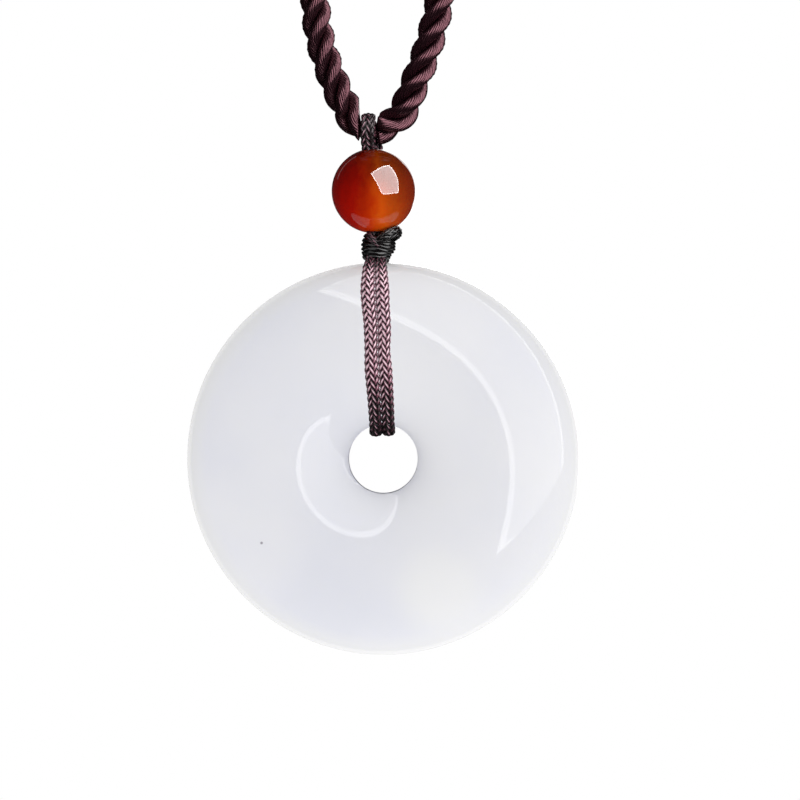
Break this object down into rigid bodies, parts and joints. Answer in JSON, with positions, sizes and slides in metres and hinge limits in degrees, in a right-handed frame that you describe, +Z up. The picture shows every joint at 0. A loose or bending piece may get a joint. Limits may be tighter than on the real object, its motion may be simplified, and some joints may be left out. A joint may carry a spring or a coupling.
{
  "type": "jade disc pendant necklace",
  "caption": "Round milky jade disc on a flat braided cord, under a knot and a carnelian bead, hanging from a closed loop of dark twisted rope.",
  "frame": {"origin": "the middle of the bound join's front face at the nape, where the loop rests on the back of the neck", "axes": "+Z up, -Y forwards to the wearer's front, +X to the right as seen from the front"},
  "size_m": [0.1276, 0.1422, 0.2764],
  "materials": {
    "rope_cord": "dark maroon-brown twisted filament rope with a mauve sheen",
    "join_thread": "tight thread binding, dark maroon",
    "braided_cord": "waxed flat braid, maroon with pinkish lights",
    "carnelian": "polished, translucent, red to orange",
    "knot_cord": "tight glossy cord, near black",
    "jade": "high polish, milky and translucent, icy white"
  },
  "bodies": {
    "neck_cord": {"neck_rope": "rope_cord", "rope_join": "join_thread"},
    "hanger": {"bead_cord": "braided_cord", "carnelian_bead": "carnelian", "hanging_knot": "knot_cord", "disc_cord_left": "braided_cord", "disc_cord_right": "braided_cord"},
    "disc": {"jade_disc": "jade"}
  },
  "joints": [
    {"name": "pendant_swing", "type": "hinge", "parent": "neck_cord", "child": "hanger", "pos_m": [0, -0.1317, -0.212], "axis": [1, 0, 0], "range_deg": [-90, 90]},
    {"name": "disc_turn", "type": "hinge", "parent": "hanger", "child": "disc", "pos_m": [0.00136, -0.1317, -0.25088], "axis": [0, 1, 0], "continuous": true}
  ]
}
